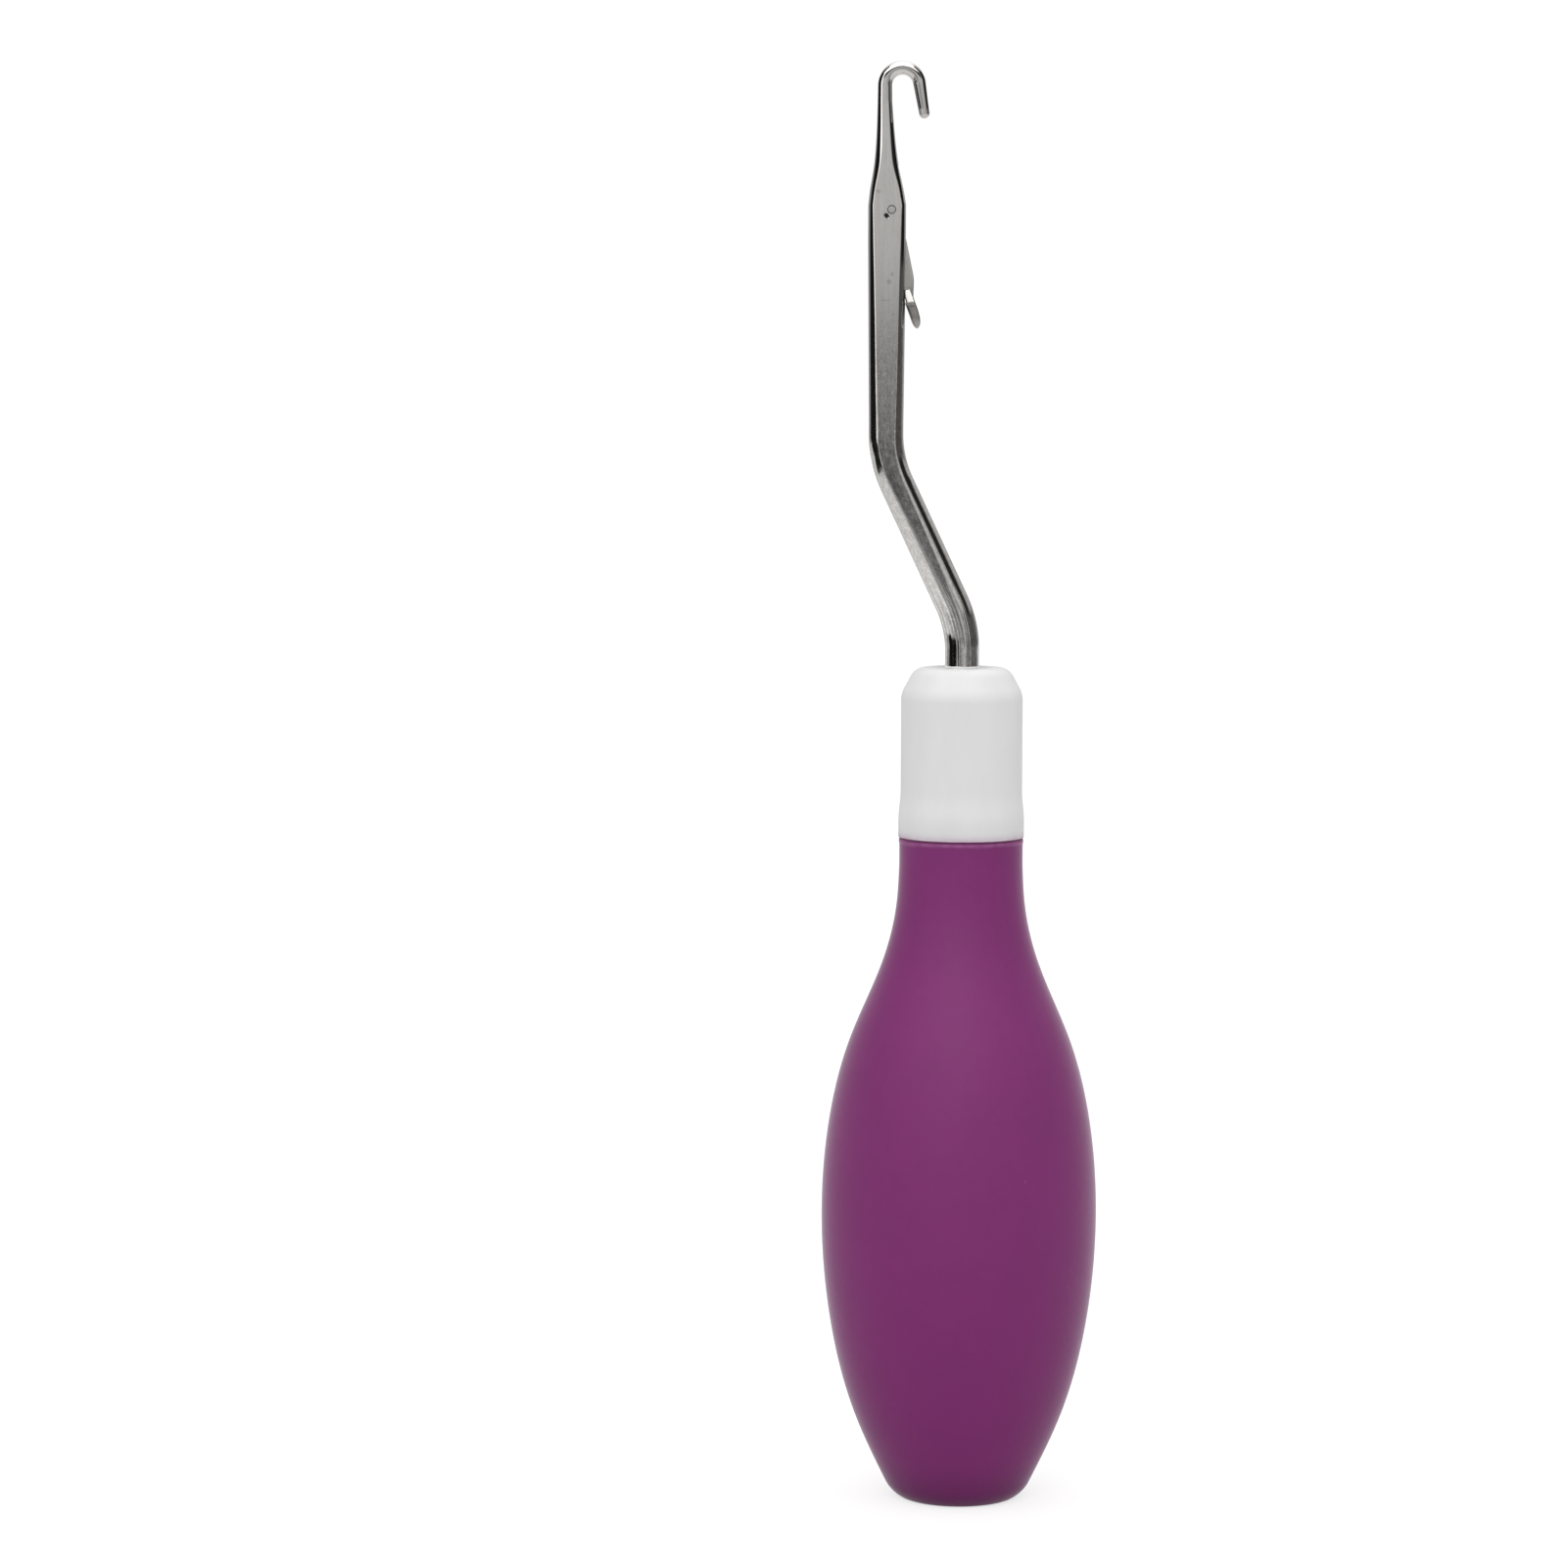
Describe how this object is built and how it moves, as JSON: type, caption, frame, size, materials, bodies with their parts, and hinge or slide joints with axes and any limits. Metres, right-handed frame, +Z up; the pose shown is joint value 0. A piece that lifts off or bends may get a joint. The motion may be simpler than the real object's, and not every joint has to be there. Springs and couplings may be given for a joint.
{
  "type": "latch hook tool",
  "caption": "Hand-held latch hook for rug making: bent steel shank with a hook and swinging latch, pale ferrule and bowling-pin shaped soft grip.",
  "frame": {"origin": "centre of the flat base of the grip, on the handle axis", "axes": "+Z up along the handle axis towards the hook; the shank is offset towards -X and the hook's throat and latch face +X; +Y away from the viewer of the picture"},
  "size_m": [0.0318, 0.0318, 0.1656],
  "materials": {
    "steel": "nickel-plated, drawn and lightly brushed, satin",
    "latch_steel": "nickel-plated stamping, satin",
    "rivet_steel": "ground flush with the cheeks",
    "ferrule": "satin white moulded plastic",
    "bead": "pale cured adhesive",
    "core": "moulded, hidden",
    "grip": "soft-touch matte purple",
    "plug": "matte purple plastic"
  },
  "bodies": {
    "handle": {"hook_shank": "steel", "latch_rivet": "rivet_steel", "collar": "ferrule", "shank_bead": "bead", "handle_core": "core", "grip_shell": "grip", "end_plug": "plug"},
    "latch": {"latch": "latch_steel"}
  },
  "joints": [
    {"name": "latch_pivot", "type": "hinge", "parent": "handle", "child": "latch", "pos_m": [-0.0084, 0, 0.14878], "axis": [0, -1, 0], "range_deg": [0, 145]}
  ]
}
